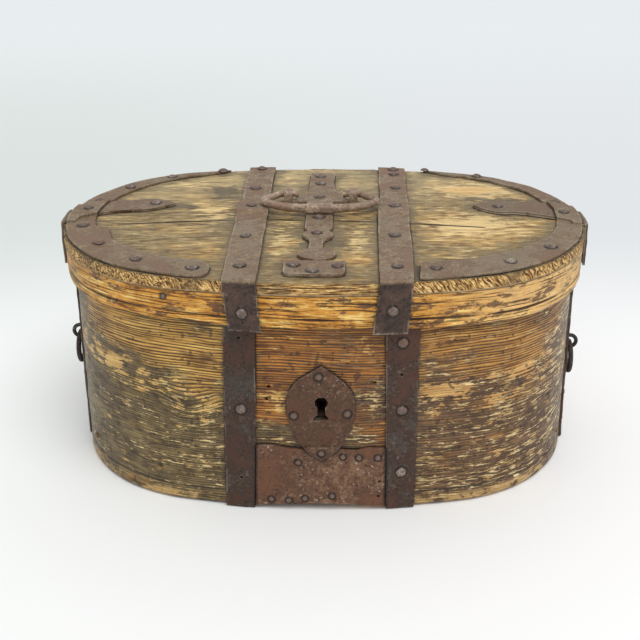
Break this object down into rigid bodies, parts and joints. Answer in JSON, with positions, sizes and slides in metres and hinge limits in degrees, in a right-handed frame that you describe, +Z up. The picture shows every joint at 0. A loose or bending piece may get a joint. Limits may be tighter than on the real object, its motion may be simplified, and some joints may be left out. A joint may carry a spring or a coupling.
{
  "type": "food box",
  "caption": "Iron-bound bentwood food box with a hinged lid, bow handle, end rings and a key lock whose bolt catches a staple on the lid.",
  "frame": {"origin": "middle of the box's outline on the floor it stands on", "axes": "+Z up, -Y the front with the keyhole, +Y the hinges, X along the box's length with +X to the viewer's right"},
  "size_m": [0.4696, 0.3021, 0.2261],
  "materials": {
    "body_wood": "old pine, worn and darkened",
    "lid_wood": "weathered pine with grey stains",
    "rim_wood": "rough bent pine",
    "bottom_wood": "plain pine",
    "peg_wood": "split hardwood",
    "root_lacing": "split root, dry",
    "strap_iron": "forged, dull brown rust",
    "plate_iron": "sheet iron, dull brown rust",
    "lid_iron": "forged, dull brown rust",
    "crescent_iron": "sheet iron, blue grey and rust",
    "pin_iron": "forged",
    "ring_iron": "forged, dark",
    "handle_iron": "forged, rubbed by hand",
    "lock_iron": "forged, brown rust",
    "nail_iron": "forged heads"
  },
  "bodies": {
    "box": {"body_wall": "body_wood", "wall_lacing": "root_lacing", "bottom_board": "bottom_wood", "bottom_pegs": "peg_wood", "body_strap_left": "strap_iron", "body_strap_right": "strap_iron", "lower_plate": "plate_iron", "keyhole_plate": "plate_iron", "body_hinge_left": "strap_iron", "body_hinge_right": "strap_iron", "hinge_pin_left": "pin_iron", "hinge_pin_right": "pin_iron", "body_end_strap_left": "strap_iron", "body_end_strap_right": "strap_iron", "ring_staple_left": "ring_iron", "ring_staple_right": "ring_iron", "lock_plate": "lock_iron", "bolt_keepers": "lock_iron", "bolt_spring": "lock_iron", "key_bridge": "lock_iron", "body_nails": "nail_iron", "lock_nails": "nail_iron"},
    "lid": {"lid_board": "lid_wood", "lid_rim": "rim_wood", "rim_lacing": "root_lacing", "lid_hinge_left": "lid_iron", "lid_hinge_right": "lid_iron", "lid_strap_left": "lid_iron", "lid_strap_right": "lid_iron", "centre_strap": "lid_iron", "staple_plate": "lid_iron", "lock_staple": "lock_iron", "crescent_left": "crescent_iron", "crescent_right": "crescent_iron", "lid_end_strap_left": "lid_iron", "lid_end_strap_right": "lid_iron", "handle_eye_left": "handle_iron", "handle_eye_right": "handle_iron", "lid_nails": "nail_iron", "rim_nails": "nail_iron"},
    "handle": {"handle": "handle_iron"},
    "ring_left": {"ring_left": "ring_iron"},
    "ring_right": {"ring_right": "ring_iron"},
    "bolt": {"lock_bolt": "lock_iron"}
  },
  "joints": [
    {"name": "lid_hinge", "type": "hinge", "parent": "box", "child": "lid", "pos_m": [0, 0.145, 0.1655], "axis": [-1, 0, 0], "range_deg": [0, 135]},
    {"name": "handle_swing", "type": "hinge", "parent": "lid", "child": "handle", "pos_m": [0, 0.044, 0.2209], "axis": [-1, 0, 0], "range_deg": [0, 176]},
    {"name": "ring_left_swing", "type": "hinge", "parent": "box", "child": "ring_left", "pos_m": [-0.22695, 0, 0.1001], "axis": [0, 1, 0], "range_deg": [0, 170]},
    {"name": "ring_right_swing", "type": "hinge", "parent": "box", "child": "ring_right", "pos_m": [0.22695, 0, 0.0926], "axis": [0, -1, 0], "range_deg": [0, 170]},
    {"name": "bolt_throw", "type": "slide", "parent": "box", "child": "bolt", "axis": [-1, 0, 0], "range_m": [0, 0.011]}
  ]
}
